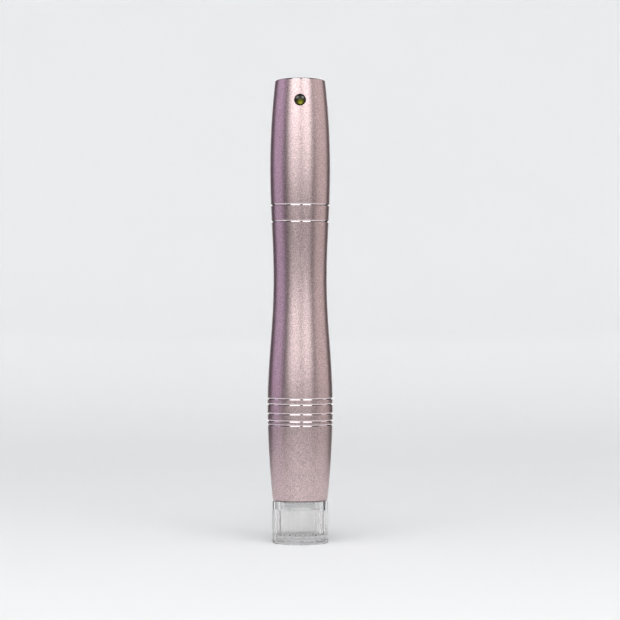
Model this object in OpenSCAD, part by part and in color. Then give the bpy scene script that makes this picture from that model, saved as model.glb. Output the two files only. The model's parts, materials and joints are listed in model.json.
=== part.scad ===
// Slim cordless needling pen with an hourglass barrel, standing upright on its clear cap.
// +Z runs up the pen and the indicator faces -Y. The origin is the middle of the cap's foot.

/* [Outline] */
// Height of the clear cap that shows below the barrel
cap_h = 12.4; // [12:0.1:13.5]
// Length of the front grip, which turns to set the needle depth
grip_len = 22.1; // [21:0.1:26]
// Height of the ring that joins barrel and tail
ring_len = 4.8; // [4:0.1:6]
// Length of the tail shell
tail_len = 36.7; // [33:0.1:42]
// Outer radius at the grip's open end
nose_r = 7.96; // [7.8:0.02:8.3]
// Outer radius at the front bulge
bulge_r = 9.5; // [9.2:0.05:10.2]
// Outer radius at the waist
waist_r = 7.78; // [7.6:0.02:8.4]
// Outer radius at the tail's bulge
tail_r = 8.76; // [8.6:0.02:9.4]
// Outer radius at the tail's end
end_r = 7.22; // [7.1:0.02:7.6]
// Height of the front bulge above the grip's seam
bulge_up = 5.5; // [4:0.1:7]
// Distance from the front bulge up to the waist
waist_up = 36.6; // [34:0.2:39]
// Distance from the waist up to the tail's bulge
tail_up = 32; // [30:0.2:34]
// Rounding of the tail's rim
rim_round = 0.65; // [0.3:0.05:0.8]
// Chamfer of the grip's open end
nose_chamfer = 0.3; // [0.1:0.05:0.5]

/* [Grooves] */
// Heights of the four grip grooves above the seam
groove_ups = [1.2, 3.3, 6, 7.6]; // [0.8:0.1:9]
// Width of a groove
groove_w = 0.5; // [0.3:0.05:0.7]
// Depth of a groove
groove_d = 0.18; // [0.1:0.02:0.25]

/* [Walls and clearances] */
// Wall of the inner frame beside the battery and the motor
frame_wall = 1.05; // [0.9:0.05:1.2]
// Room around the inner frame in the bore
slip = 0.15; // [0.1:0.01:0.2]
// Room around pieces that turn or slide
run = 0.05; // [0.03:0.01:0.08]
// Room around pieces that are fixed in each other
seat = 0.02; // [0.01:0.01:0.04]
// Gap between flat faces that turn or slide on each other
face_gap = 0.05; // [0.03:0.01:0.1]
// Wall of the threaded spigots on the joint ring
spigot_wall = 0.8; // [0.7:0.05:0.9]
// Length of the joint ring's lower spigot
low_spigot = 5; // [4:0.1:6]
// Length of the joint ring's upper spigot
top_spigot = 5.7; // [4:0.1:7]

/* [Cap] */
// Radius of the cap over its corners
cap_r = 8.25; // [8:0.05:8.6]
// Number of flat sides on the cap
cap_sides = 12; // [8:1:12]
// Turn of the cap's first corner away from the front, in degrees
cap_turn = 4; // [0:1:30]
// Thickness of the cap's floor
cap_floor = 2.4; // [1.5:0.1:3]
// Number of flutes round the well
flutes = 24; // [16:1:30]
// Depth of a flute
flute_d = 0.35; // [0.2:0.05:0.4]
// Chamfer round the cap's foot
foot_chamfer = 0.35; // [0.1:0.05:0.6]

/* [Grip and socket] */
// Radius of the grip's bore that the socket moves in
grip_bore_r = 6.45; // [6.35:0.05:6.6]
// Wall of the grip's spigot inside the barrel
grip_wall = 1.3; // [1.2:0.05:1.5]
// Length of the grip's spigot
grip_spigot = 6; // [5:0.1:7]
// How far the socket's collar reaches down into the cap
collar_drop = 2.5; // [2:0.1:3]
// Radius of the bore that takes a needle cartridge
plug_r = 4.1; // [3.9:0.05:4.2]
// Depth of the bore that takes a needle cartridge
plug_depth = 8.3; // [7.8:0.1:8.8]
// Thickness of the socket's wall behind that bore
web_t = 1.5; // [1.2:0.1:1.8]
// Length of the socket's sleeve that stays on the frame's nose when it is fully down
sleeve_hold = 5.8; // [5:0.1:6]
// How far the socket moves down as the grip turns
depth_travel = 2.5; // [1.5:0.1:2.8]
// Width of the two keys that stop the socket turning
key_w = 1.2; // [0.8:0.1:1.6]
// Thickness of the friction ring round the grip's spigot
seal_d = 0.84; // [0.7:0.02:0.9]
// Thickness of the clip that holds the grip on
clip_t = 0.8; // [0.6:0.05:0.9]

/* [Drive] */
// Stroke of the push rod
stroke = 2.5; // [1.5:0.1:2.6]
// Radius of the push rod
rod_r = 1.25; // [1:0.05:1.35]
// Length of the bush that guides the push rod
bush_len = 7; // [5:0.2:8]
// Outer radius of that bush
bush_r = 2.5; // [2.1:0.05:2.8]
// Radius of the cam drum
drum_r = 3.2; // [3:0.05:3.3]
// Width of the slanted slot round the drum
slot_w = 1.1; // [1:0.05:1.2]
// Depth of the slanted slot
slot_d = 0.75; // [0.5:0.05:0.9]
// Radius of the motor's shaft
shaft_r = 0.75; // [0.6:0.05:0.9]
// Radius of the motor's case
motor_r = 5; // [4.9:0.05:5.3]
// Length of the motor's case
motor_len = 20; // [15:0.5:25]
// Distance of the motor's screws from the axis
screw_at = 3.7; // [3.65:0.05:3.75]

/* [Power] */
// Radius of the battery
battery_r = 5; // [4.5:0.05:5.3]
// Length of the battery with its button end
battery_len = 44; // [35:0.5:50]
// Height of the battery's spring, compressed
spring_h = 3.5; // [3:0.1:3.8]
// Turns of that spring
spring_turns = 4; // [3:1:5]
// Radius of the spring's wire
wire_r = 0.3; // [0.2:0.02:0.32]
// Radius of a lead
lead_r = 0.35; // [0.25:0.01:0.4]

/* [Tail] */
// Distance from the top down to the indicator
led_drop = 6.6; // [6.4:0.1:7.2]
// Radius of the indicator's lens
lens_r = 1.63; // [1.5:0.01:1.75]
// Height of the lens's dome above the shell
dome_h = 0.5; // [0.2:0.05:0.7]
// Room between the battery's bay and the circuit board
board_gap = 0.85; // [0.6:0.05:3]
// Radius of the charge port's bore
port_r = 1.35; // [1.2:0.05:1.5]
// Radius of the port's bushing in the shell
bezel_r = 2.6; // [2.4:0.05:2.8]
// Width of the bushing's flange
bezel_rim = 0.45; // [0.3:0.05:0.5]
// Radius of the power button
button_r = 3.3; // [3:0.05:3.5]
// Travel of the power button
button_travel = 0.6; // [0.3:0.05:0.7]
// How far the button sits below the rim
button_sink = 0.1; // [0:0.05:0.4]
// Height of the tail's inward lip
lip_h = 1.4; // [1:0.05:1.5]
// Width of the tail's inward lip
lip_w = 0.65; // [0.5:0.05:0.8]
// Thickness of the circuit board
board_t = 0.8; // [0.6:0.1:1]
// Length of the circuit board
board_len = 11; // [10.5:0.1:14]

/* [Hidden] */
$fn = 96;

// Colours of the real surfaces
rose_gold = [0.76, 0.64, 0.65];
clear_grey = [0.85, 0.87, 0.88, 0.45];
milk_white = [0.9, 0.9, 0.88];
dark_rubber = [0.12, 0.12, 0.13];
steel = [0.72, 0.73, 0.75];
brass = [0.8, 0.66, 0.35];
frame_grey = [0.32, 0.33, 0.35];
board_green = [0.12, 0.4, 0.25];
lens_green = [0.2, 0.22, 0.12];
cell_blue = [0.2, 0.35, 0.6];
lead_red = [0.7, 0.12, 0.1];
lead_black = [0.1, 0.1, 0.12];
lead_white = [0.9, 0.9, 0.88];

// How far a cut runs past the face that it opens, and how far joined shapes overlap
past = 1;
weld = 0.1;

// Radii that fit in each other, from the battery outwards
bay_room = 0.1;
board_edge = 0.44;
bay_r = max(battery_r, motor_r) + bay_room;
frame_r = bay_r + frame_wall;
bore_r = frame_r + slip;
spigot_r = bore_r + spigot_wall;
grip_spigot_r = frame_r + run + grip_wall;
lip_r = bore_r - lip_w;

// Seams of the grip
z_grip = cap_h;
z_seam = z_grip + grip_len;

// The cap's rim, and its well, whose waves reach out to the socket's radius
mouth_room = 0.3;
z_cap_rim = z_grip - face_gap;
socket_r = grip_bore_r - run;
well_r = socket_r - flute_d;

// Levels inside the grip, from the cartridge's mouth upwards
rod_room = 0.35;
sleeve_len = sleeve_hold + depth_travel;
z_mouth = z_grip - collar_drop;
z_web = z_mouth + plug_depth;
z_sleeve = z_web + web_t;
z_sleeve_top = z_sleeve + sleeve_len;

// The frame's nose, which the socket's sleeve slides on, and its two keys
nose_gap = 1.6;
nose_step = 0.8;
key_out = 0.7;
key_drop = 0.6;
z_nose = z_sleeve + nose_gap;
nose_tube_r = plug_r + nose_step;

// The grip's bearing on the frame, the clip below it and the friction ring above it
journal_h = 1.5;
floor_drop = 2.9;
front_wall = 2;
clip_bite = 0.45;
clip_reach = 0.8;
clip_room = 0.15;
clip_gap_angle = 60;
clip_space = 0.6;
seal_up = 3;
seal_stand = 0.06;
seal_room = 0.15;
seal_bite = 0.04;
z_journal = z_seam - journal_h;
z_clip = z_journal - face_gap - clip_t;
z_floor = z_seam - floor_drop;
z_front = z_floor - front_wall;
z_seal = z_seam + seal_up;
z_grip_top = z_seam + grip_spigot;

// Levels of the drive, from the chamber's floor upwards
hub_room = 0.2;
hub_h = 1.4;
hub_wall = 1.05;
drum_gap = 0.3;
drum_floor = 1.2;
drum_roof = 1;
cam_neck = 1.8;
cam_gap = 0.4;
bulkhead_t = 1.4;
z_hub = z_floor + hub_room + stroke;
z_drum = z_hub + hub_h + drum_gap;
z_slot = z_drum + drum_floor + slot_w / 2 + stroke / 2;
z_drum_top = z_slot + stroke / 2 + slot_w / 2 + drum_roof;
z_cam_top = z_drum_top + cam_neck;
z_bulkhead = z_cam_top + cam_gap;
z_motor = z_bulkhead + bulkhead_t;
z_motor_top = z_motor + motor_len;
slant = atan(stroke / 2 / drum_r);

// The cam's neck, its grub screw and how far the shaft reaches into it
cam_hub_r = 2.4;
grub_r = 0.7;
grub_down = 0.9;
shaft_in = 0.6;
z_grub = z_cam_top - grub_down;

// The follower's pin and leg, the ribs beside the leg and the chamber round them
pin_room = 0.1;
pin_gap = 0.1;
leg_gap = 0.5;
leg_t = 0.8;
leg_w = 2.2;
leg_over = 1;
rib_t = 0.6;
rib_gap = 0.3;
chamber_room = 0.22;
screw_head_r = 1.1;
pin_r = slot_w / 2 - pin_room;
z_pin = z_slot + stroke / 2;
leg_in = drum_r + leg_gap;
leg_out = leg_in + leg_t;
chamber_r = max(norm([leg_out, leg_w / 2]) + chamber_room, screw_at + screw_head_r + run);

// The motor's ends, boss and screws
endbell_h = 1.5;
shaft_room = 2;
boss_r = 2;
boss_h = 1;
screw_r = 0.65;
screw_pass = 0.1;
screw_head_h = 0.8;
screw_len = 2.8;
screw_slot = 0.3;

// The motor's tabs, and the leads' notches and pads
tab = [0.3, 1.4, 1.2];
tab_at = 3.2;
notch_back = 0.2;
notch_front = 3.4;
notch_low_x = 4.2;
notch_top_x = 3.4;
pad_in = 0.8;
pad_gap = 0.12;
pad_up = 1;

// Levels of the battery bay
lead_room = 2;
shelf_t = 1;
contact_t = 0.4;
bay_roof = 0.8;
z_shelf = z_motor_top + endbell_h + lead_room;
z_spring = z_shelf + shelf_t;
z_battery = z_spring + spring_h;
z_battery_top = z_battery + battery_len;
z_contact_top = z_battery_top + contact_t;
z_bay_top = z_contact_top + bay_roof;

// Levels of the tail, from the board up to the end
board_drop = 0.5;
button_flange = 1;
button_rim = 1;
button_room = 0.1;
button_edge = 0.25;
dish_edge = 0.4;
dish_d = 0.3;
post_r = 1.2;
plug_flange = 1;
plunger_r = 0.9;
plunger_gap = 0.1;
switch_gap = 0.8;
switch_h = 3.3;
z_board = z_bay_top + board_gap;
z_board_top = z_board + board_len;
z_button = z_board_top + board_drop + button_travel;
z_plug = z_button + button_flange + face_gap;
z_lip = z_plug + plug_flange;
z_top = z_lip + lip_h;
z_switch_top = z_button - button_travel - switch_gap;
z_plunger_top = z_switch_top + button_travel + plunger_gap;
z_led = z_top - led_drop;

// Seams of the joint ring, the ends of its threads, and the frame's collar below it
low_relief = 1.2;
top_relief = 0.4;
collar_h = 1.1;
z_tail = z_top - tail_len;
z_ring = z_tail - ring_len;
z_low_spigot = z_ring - low_spigot;
z_top_spigot = z_tail + top_spigot;

// The outline's bulges and waist, the steps it is drawn in, and how its two ends curve
z_bulge = z_seam + bulge_up;
z_waist = z_bulge + waist_up;
z_tail_bulge = z_waist + tail_up;
outline_step = 1.6;
nose_power = 1.8;
tail_power = 2.1;

// The board's two faces, its width and its rails in the frame
rail_y = 3;
rail_bite = 0.3;
board_back = -1.4;
board_front = board_back - board_t;
board_w = 2 * (sqrt(pow(frame_r, 2) - pow(board_front, 2)) - board_edge);
rail_in = board_w / 2 - rail_bite;

// The charge port, level with the jack that stands flush with the board's lower end
bezel_flange = 0.5;
bezel_gap = 0.1;
jack_w = 5.8;
jack_gap = 0.2;
z_port = z_board + jack_w / 2;
port_face = sqrt(pow(hull_r(z_port), 2) - pow(bezel_r + bezel_rim, 2));
jack_face = sqrt(pow(frame_r, 2) - pow(jack_w / 2, 2)) - jack_gap;

// A smooth step from a to b as t goes from 0 to 1
function blend(a, b, t) = a + (b - a) * (1 - cos(180 * t)) / 2;

// Outer radius of the hourglass at height z
function hull_r(z) =
    z < z_bulge
        ? bulge_r - (bulge_r - nose_r) * pow((z_bulge - z) / (z_bulge - z_grip), nose_power)
    : z < z_waist ? blend(bulge_r, waist_r, (z - z_bulge) / waist_up)
    : z < z_tail_bulge ? blend(waist_r, tail_r, (z - z_waist) / tail_up)
    : tail_r - (tail_r - end_r) * pow((z - z_tail_bulge) / (z_top - z_tail_bulge), tail_power);

// The hourglass outline between two levels, as points from the bottom up
function outline(z0, z1) =
    let (n = ceil((z1 - z0) / outline_step))
    [for (i = [0:n]) let (z = z0 + (z1 - z0) * i / n) [hull_r(z), z]];

// Half section of the solid hourglass between two levels
module section(z0, z1) {
    polygon(concat([[0, z0]], outline(z0, z1), [[0, z1]]));
}

// Half section of one bright-cut groove
module groove(z) {
    r = hull_r(z);
    polygon([[r - groove_d, z], [r + groove_d, z - groove_w], [r + groove_d, z + groove_w]]);
}

// Half section of a bore or ring from radius r0 to r1 between two levels
module band(r0, r1, z0, z1) {
    translate([r0, z0]) square([r1 - r0, z1 - z0]);
}

// A tube about the axis
module tube(r_in, r_out, z0, z1) {
    difference() {
        translate([0, 0, z0]) cylinder(r = r_out, h = z1 - z0);
        translate([0, 0, z0 - past]) cylinder(r = r_in, h = z1 - z0 + 2 * past);
    }
}

// A straight bar about the axis
module bar(r, z0, z1) {
    translate([0, 0, z0]) cylinder(r = r, h = z1 - z0);
}

// A box given by its lowest and highest corners
module block(low, high) {
    translate(low) cube(high - low);
}

// A bar that points to the front, from y0 to y1 away from the axis at height z
module front_bar(r, y0, y1, z) {
    translate([0, -y0, z]) rotate([90, 0, 0]) cylinder(r = r, h = y1 - y0);
}

// A bar that points to the back, from y0 to y1 away from the axis at height z
module back_bar(r, y0, y1, z) {
    translate([0, y0, z]) rotate([-90, 0, 0]) cylinder(r = r, h = y1 - y0);
}

// A bar that points to the right, from x0 to x1 away from the axis at height z
module side_bar(r, x0, x1, z) {
    translate([x0, 0, z]) rotate([0, 90, 0]) cylinder(r = r, h = x1 - x0);
}

// One ring of a swept tube, square to the direction d at the point p
function ring(p, d, r, n) =
    let (u = cross(d, [0, 1, 0]) / norm(cross(d, [0, 1, 0])), v = cross(d, u) / norm(d))
    [for (k = [0:n - 1]) p + r * (cos(360 * k / n) * u + sin(360 * k / n) * v)];

// A round tube swept along a path of points
module sweep(path, r, n = 8) {
    last = len(path) - 1;
    rings = [for (i = [0:last])
        each ring(path[i], path[min(i + 1, last)] - path[max(i - 1, 0)], r, n)];
    sides = [for (i = [0:last - 1]) for (k = [0:n - 1])
        let (a = i * n + k, b = i * n + (k + 1) % n)
        each [[a, b, b + n], [a, b + n, a + n]]];
    ends = [[for (k = [n - 1:-1:0]) k], [for (k = [0:n - 1]) last * n + k]];
    polyhedron(points = rings, faces = concat(sides, ends), convexity = 4);
}

module protective_cap() {
    z_seat = z_mouth - mouth_room;
    color(clear_grey)
    difference() {
        rotate([0, 0, -90 + cap_turn])
        hull() {
            cylinder(r = cap_r - foot_chamfer, h = z_cap_rim, $fn = cap_sides);
            translate([0, 0, foot_chamfer])
                cylinder(r = cap_r, h = z_cap_rim - foot_chamfer, $fn = cap_sides);
        }
        translate([0, 0, cap_floor]) linear_extrude(z_seat - cap_floor) fluted_circle();
        bar(socket_r + run, z_seat, z_cap_rim + past);
    }
}

// Outline of the cap's well, with shallow waves all along it
module fluted_circle() {
    steps = 6 * flutes;
    polygon([for (i = [0:steps - 1])
        let (a = 360 * i / steps, r = well_r + flute_d * (1 - cos(flutes * a)) / 2)
        r * [cos(a), sin(a)]]);
}

// Cup that holds the cartridge, with a sleeve and two key slots that slide on the frame's nose
module cartridge_socket() {
    slot_out = nose_tube_r + key_out + run;
    color(milk_white)
    difference() {
        bar(socket_r, z_mouth, z_sleeve_top);
        bar(plug_r, z_mouth - past, z_web);
        bar(rod_r + rod_room, z_web - past, z_sleeve + past);
        bar(nose_tube_r + 2 * run, z_sleeve, z_sleeve_top + past);
        for (side = [0, 180]) rotate([0, 0, side])
            block([0, -key_w / 2 - run, z_sleeve], [slot_out, key_w / 2 + run, z_sleeve_top + past]);
    }
}

module front_grip() {
    rim = z_seam - face_gap;
    step_down = 1;
    color(rose_gold)
    rotate_extrude()
    difference() {
        union() {
            section(z_grip, rim);
            band(0, grip_spigot_r, rim - step_down, z_grip_top);
        }
        groove(z_seam);
        band(0, grip_bore_r, z_grip - past, z_journal);
        band(0, frame_r + clip_reach + clip_room, z_front - clip_space, z_journal);
        band(0, frame_r + run, z_journal - past, z_grip_top + past);
        band(grip_spigot_r - seal_d + seal_bite, grip_spigot_r + past,
            z_seal - seal_d / 2 - seal_room, z_seal + seal_d / 2 + seal_room);
        polygon([[nose_r - nose_chamfer, z_grip - 0.01], [nose_r + past, z_grip - 0.01],
            [nose_r + past, z_grip + past + nose_chamfer]]);
    }
}

module grip_seal() {
    color(dark_rubber)
    translate([0, 0, z_seal])
    rotate_extrude()
    translate([grip_spigot_r - seal_d / 2 + seal_stand, 0]) circle(d = seal_d, $fn = 32);
}

// A snap ring, open at the front
module grip_clip() {
    color(steel)
    rotate([0, 0, -clip_gap_angle])
    rotate_extrude(angle = 360 - clip_gap_angle)
    band(frame_r - clip_bite, frame_r + clip_reach, z_clip, z_clip + clip_t);
}

module mid_barrel() {
    grip_room = 0.3;
    color(rose_gold)
    rotate_extrude()
    difference() {
        section(z_seam, z_ring);
        for (z = concat([z_seam, z_ring], [for (up = groove_ups) z_seam + up])) groove(z);
        band(0, grip_spigot_r + 2 * run, z_seam - past, z_grip_top + grip_room);
        band(0, bore_r, z_seam, z_ring + past);
        band(0, spigot_r + seat, z_low_spigot - low_relief, z_ring + past);
    }
}

module centre_ring() {
    color(rose_gold)
    rotate_extrude()
    difference() {
        union() {
            section(z_ring, z_tail);
            band(0, spigot_r, z_low_spigot, z_top_spigot);
        }
        groove(z_ring);
        groove(z_tail);
        band(0, bore_r, z_low_spigot - past, z_top_spigot + past);
    }
}

module tail_shell() {
    rim_z = z_top - rim_round;
    rim_r = hull_r(rim_z) - rim_round;
    color(rose_gold)
    difference() {
        rotate_extrude()
        difference() {
            polygon(concat(
                [[0, z_tail]],
                outline(z_tail, rim_z),
                [for (a = [15:15:90]) [rim_r + rim_round * cos(a), rim_z + rim_round * sin(a)]],
                [[0, z_top]]));
            groove(z_tail);
            band(0, spigot_r + seat, z_tail - past, z_top_spigot + top_relief);
            band(0, bore_r, z_tail, z_lip);
            band(0, lip_r, z_lip - past, z_top + past);
        }
        front_bar(lens_r + seat, bore_r - past, tail_r + past, z_led);
        back_bar(bezel_r + seat, bore_r - past, tail_r + past, z_port);
        back_bar(bezel_r + bezel_rim + seat, port_face - bezel_flange, tail_r + past, z_port);
    }
}

// Plate in the tail's end, with a funnel round the button
module end_plug() {
    hole_r = button_r + button_room;
    funnel = 1.3;
    color(rose_gold)
    rotate_extrude()
    difference() {
        union() {
            band(0, bore_r - run, z_plug, z_lip - seat);
            band(0, lip_r - seat, z_plug, z_top);
        }
        band(0, hole_r, z_plug - past, z_top + past);
        polygon([[hole_r - past, z_top - funnel], [hole_r - past, z_top + past],
            [hole_r + funnel, z_top + past]]);
    }
}

// Button with a shallow dish for the fingertip and a post that bears on the switch
module power_button() {
    top = z_top - button_sink;
    dish_r = button_r - dish_edge;
    dish_steps = 6;
    dish = [for (i = [dish_steps:-1:1]) let (t = i / dish_steps)
        [dish_r * t, top - dish_d * (1 - t * t)]];
    color(steel)
    rotate_extrude()
    polygon(concat(
        [[0, z_plunger_top], [post_r, z_plunger_top], [post_r, z_button],
            [button_r + button_rim, z_button], [button_r + button_rim, z_button + button_flange],
            [button_r, z_button + button_flange], [button_r, top - button_edge],
            [button_r - button_edge, top]],
        dish,
        [[0, dish[dish_steps - 1][1]]]));
}

module switch_plunger() {
    plunger_sunk = 0.45;
    color(dark_rubber)
    bar(plunger_r, z_switch_top - plunger_sunk, z_plunger_top - face_gap);
}

module tact_switch() {
    half_w = 2.2;
    color(dark_rubber)
    difference() {
        block([-half_w, board_back, z_switch_top - switch_h], [half_w, -board_back, z_switch_top]);
        bar(plunger_r + run, z_switch_top - 2 * button_travel, z_switch_top + past);
    }
}

module circuit_board() {
    color(board_green)
    block([-board_w / 2, board_front, z_board], [board_w / 2, board_back, z_board_top]);
}

// The controller, the regulator and the coil on the board's front
module board_chips() {
    color(dark_rubber) {
        chip([-3, 1.8], [3.2, 3.2, 0.8]);
        chip([1.2, 4.4], [2, 2, 0.6]);
        chip([1, 1], [2.4, 2.4, 1.1]);
    }
}

// A part on the board's front: its lower left corner, then its width, height and thickness
module chip(corner, size) {
    block([corner[0], board_front - size[2], z_board + corner[1]],
        [corner[0] + size[0], board_front, z_board + corner[1] + size[1]]);
}

module indicator_led() {
    color(milk_white)
    block([-0.8, board_front - 0.7, z_led - 0.5], [0.8, board_front, z_led + 0.5]);
}

// A domed light pipe that carries the indicator's light through the shell
module led_lens() {
    tip = hull_r(z_led) + dome_h;
    rise = 1.2 * dome_h;
    ball_r = (lens_r * lens_r + rise * rise) / (2 * rise);
    stem_r = lens_r - 0.45;
    led_room = 1;
    color(lens_green)
    union() {
        front_bar(stem_r, led_room - board_front, bore_r + weld, z_led);
        intersection() {
            front_bar(lens_r, bore_r, tip + past, z_led);
            translate([0, ball_r - tip, z_led]) sphere(r = ball_r);
        }
    }
}

// Charge socket: a bore for the plug, then a narrower one with the contact's depth
module charge_jack() {
    plug_floor = 0.6;
    contact_r = port_r - 0.35;
    contact_deep = 1.2;
    color(dark_rubber)
    difference() {
        block([-jack_w / 2, board_back, z_port - jack_w / 2],
            [jack_w / 2, jack_face, z_port + jack_w / 2]);
        back_bar(port_r, plug_floor, jack_face + past, z_port);
        back_bar(contact_r, plug_floor - contact_deep, past, z_port);
    }
}

module port_bezel() {
    color(dark_rubber)
    difference() {
        union() {
            back_bar(bezel_r, jack_face + bezel_gap, port_face, z_port);
            back_bar(bezel_r + bezel_rim, port_face - bezel_flange, port_face, z_port);
        }
        back_bar(port_r, jack_face - past, port_face + past, z_port);
    }
}

// Chassis that carries the drive, the motor, the battery and the board
module inner_frame() {
    z_collar = z_low_spigot - low_relief + run;
    color(frame_grey)
    difference() {
        union() {
            bar(nose_tube_r, z_nose, z_front + weld);
            for (side = [0, 180]) rotate([0, 0, side])
                block([nose_tube_r - key_drop, -key_w / 2, z_nose + key_drop],
                    [nose_tube_r + key_out, key_w / 2, z_front + weld]);
            bar(frame_r, z_front, z_plug - seat);
            bar(spigot_r - slip, z_collar, z_collar + collar_h);
        }
        tube(frame_r - clip_bite - seat, frame_r + past, z_clip - seat, z_clip + clip_t + seat);
        bar(bush_r + seat, z_nose - past, z_nose + bush_len);
        bar(rod_r + rod_room, z_nose, z_floor + past);
        cam_chamber();
        motor_bay();
        battery_bay();
        board_bay();
    }
}

// Room for the drum, with two ribs left standing beside the follower's leg
module cam_chamber() {
    rib_at = leg_w / 2 + run;
    difference() {
        bar(chamber_r, z_floor, z_bulkhead);
        for (side = [0, 1]) mirror([0, side, 0])
            block([leg_in + rib_gap, rib_at, z_floor - past], [frame_r, rib_at + rib_t, z_bulkhead + past]);
    }
}

// Room for the motor, its boss and its screws, with a window to the front
module motor_bay() {
    window_w = 6;
    window_from_end = 4;
    bar(boss_r + seat, z_bulkhead - past, z_motor + past);
    for (side = [-1, 1]) translate([0, side * screw_at, 0])
        bar(screw_r + screw_pass, z_bulkhead - past, z_motor + past);
    bar(bay_r, z_motor, z_shelf);
    block([-window_w / 2, -bore_r, z_motor + window_from_end],
        [window_w / 2, 0, z_motor_top - window_from_end]);
}

// Room for the battery, open to the front, with notches for the leads in both shelves
module battery_bay() {
    out = bore_r + past;
    bar(bay_r, z_spring, z_contact_top);
    block([-out, -out, z_spring], [out, 0, z_contact_top]);
    for (side = [0, 1]) mirror([side, 0, 0]) {
        block([notch_low_x, -notch_front, z_shelf - past], [out, notch_back, z_spring + past]);
        block([notch_top_x, -notch_front, z_contact_top - past],
            [out, notch_back, z_board + pad_up + past]);
    }
    block([-1, board_front - 0.6, z_contact_top - past], [1, board_front + run, z_bay_top + past]);
}

// Room for the board between two slotted side rails
module board_bay() {
    board_over = 0.2;
    bar(rail_in, z_bay_top, z_plug + past);
    for (side = [0, 1]) mirror([0, side, 0])
        block([-bore_r, rail_y, z_bay_top], [bore_r, bore_r, z_plug + past]);
    block([-board_w / 2 - run, board_front - run, z_bay_top],
        [board_w / 2 + run, board_back + run, z_board_top + board_over]);
}

module rod_bush() {
    color(brass)
    tube(rod_r + run, bush_r, z_nose, z_nose + bush_len);
}

// Rod with a tapered tip that pushes the cartridge's plunger
module push_rod() {
    tip = z_web + 0.4;
    taper_h = 0.6;
    taper = 0.4;
    color(steel)
    union() {
        translate([0, 0, tip]) cylinder(r1 = rod_r - taper, r2 = rod_r, h = taper_h);
        bar(rod_r, tip + taper_h, z_hub + hub_h);
    }
}

// Hub on the rod, with an arm and a leg that reaches up beside the drum
module cam_follower() {
    color(milk_white)
    difference() {
        union() {
            bar(rod_r + hub_wall, z_hub, z_hub + hub_h);
            block([rod_r, -leg_w / 2, z_hub], [leg_out, leg_w / 2, z_hub + hub_h]);
            block([leg_in, -leg_w / 2, z_hub], [leg_out, leg_w / 2, z_pin + leg_over]);
        }
        bar(rod_r + seat, z_hub - past, z_hub + hub_h + past);
        side_bar(pin_r + seat, leg_in - past, leg_out + past, z_pin);
    }
}

// The pin's tip stands just outside the drum, in line with the slot's top
module follower_pin() {
    color(steel)
    side_bar(pin_r, drum_r + pin_gap, leg_out, z_pin);
}

// Drum with a slanted slot all round it, which turns rotation into the rod's stroke
module drive_cam() {
    color(brass)
    difference() {
        union() {
            bar(drum_r, z_drum, z_drum_top);
            bar(cam_hub_r, z_drum_top - weld, z_cam_top);
        }
        translate([0, 0, z_slot]) rotate([0, -slant, 0])
            tube(drum_r - slot_d, drum_r + 2, -slot_w / 2, slot_w / 2);
        bar(shaft_r + seat, z_drum + shaft_in, z_cam_top + past);
        back_bar(grub_r + seat, 0, cam_hub_r + past, z_grub);
    }
}

// Grub screw that holds the cam on the shaft, with a hexagon socket
module cam_screw() {
    key_r = 0.4;
    key_deep = 0.6;
    sunk = 0.1;
    color(steel)
    difference() {
        back_bar(grub_r, shaft_r + seat, cam_hub_r - sunk, z_grub);
        translate([0, cam_hub_r - sunk - key_deep, z_grub]) rotate([-90, 0, 0])
            cylinder(r = key_r, h = past, $fn = 6);
    }
}

module motor_shaft() {
    color(steel)
    bar(shaft_r, z_drum + shaft_in + weld, z_motor_top - shaft_room);
}

module motor_case() {
    corner = 0.4;
    thread_deep = 3;
    color(steel)
    difference() {
        union() {
            rotate_extrude()
                polygon([[0, z_motor], [motor_r - corner, z_motor], [motor_r, z_motor + corner],
                    [motor_r, z_motor_top], [0, z_motor_top]]);
            bar(boss_r, z_motor - boss_h, z_motor + weld);
        }
        bar(shaft_r + run, z_motor - boss_h - past, z_motor_top - shaft_room + run);
        for (side = [-1, 1]) translate([0, side * screw_at, 0])
            bar(screw_r + seat, z_motor - past, z_motor + thread_deep);
    }
}

module motor_endbell() {
    hub_r = 1.5;
    hub_up = 0.5;
    color(frame_grey)
    union() {
        bar(motor_r - 0.2, z_motor_top, z_motor_top + endbell_h);
        bar(hub_r, z_motor_top, z_motor_top + endbell_h + hub_up);
    }
}

module motor_tabs() {
    foot = z_motor_top + endbell_h;
    color(brass)
    for (side = [-1, 1])
        block([side * tab_at - tab[0] / 2, -tab[1] / 2, foot],
            [side * tab_at + tab[0] / 2, tab[1] / 2, foot + tab[2]]);
}

module motor_screws() {
    z_head = z_bulkhead - screw_head_h;
    color(steel)
    for (side = [-1, 1]) translate([0, side * screw_at, 0])
    difference() {
        union() {
            bar(screw_head_r, z_head, z_bulkhead);
            bar(screw_r, z_bulkhead - weld, z_motor + screw_len);
        }
        block([-screw_head_r - past, -screw_slot / 2, z_head - past],
            [screw_head_r + past, screw_slot / 2, z_head + screw_slot]);
    }
}

module battery() {
    nub_h = 0.8;
    nub_r = 2.7;
    corner = 0.3;
    top = z_battery_top - nub_h;
    color(cell_blue)
    rotate_extrude()
    polygon([[0, z_battery], [battery_r - corner, z_battery], [battery_r, z_battery + corner],
        [battery_r, top - corner], [battery_r - corner, top], [nub_r, top],
        [nub_r, z_battery_top], [0, z_battery_top]]);
}

// A cone spring, wide where it stands on the shelf
module battery_spring() {
    wide = 3.6;
    narrow = 1.8;
    steps = 12 * spring_turns;
    clear = 0.05;
    rise = spring_h - 2 * (wire_r + clear);
    path = [for (i = [0:steps])
        let (t = i / steps, a = 360 * spring_turns * t, r = wide + (narrow - wide) * t)
        [r * cos(a), r * sin(a), z_spring + wire_r + clear + rise * t]];
    color(steel)
    coil(path, wire_r);
}

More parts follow.
